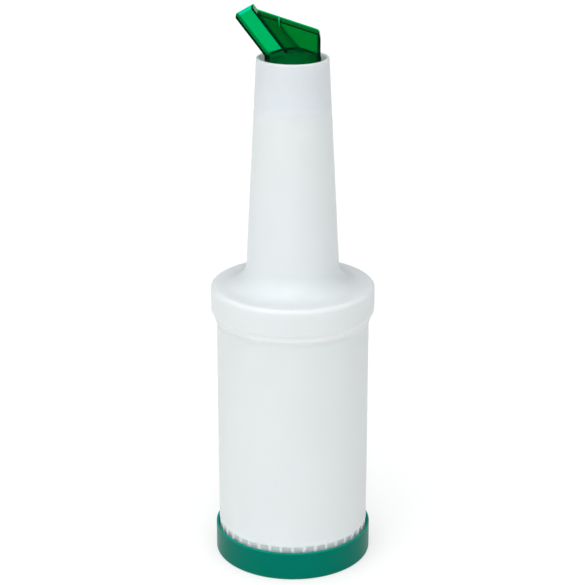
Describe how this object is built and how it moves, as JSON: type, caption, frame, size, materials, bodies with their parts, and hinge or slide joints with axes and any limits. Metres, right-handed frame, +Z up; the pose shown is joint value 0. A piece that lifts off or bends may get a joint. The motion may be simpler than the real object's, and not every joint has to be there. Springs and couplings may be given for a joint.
{
  "type": "speed pour bottle",
  "caption": "Tall pour bottle: straight ribbed-foot jar, screw-on tapered neck with a wide collar, slanted clear green pour spout and a green storage lid under its foot.",
  "frame": {"origin": "on the bottle's axis, in the plane that the storage lid stands on", "axes": "+Z up along the bottle's axis; the spout points to -X and lies in the XZ plane"},
  "size_m": [0.0962, 0.0962, 0.3349],
  "materials": {
    "white_plastic": "milky, slightly see-through, satin",
    "green_clear_plastic": "clear green, glossy",
    "green_plastic": "solid green, satin gloss"
  },
  "bodies": {
    "root": {"jar": "white_plastic", "neck": "white_plastic", "spout": "green_clear_plastic", "base_lid": "green_plastic"}
  },
  "joints": []
}
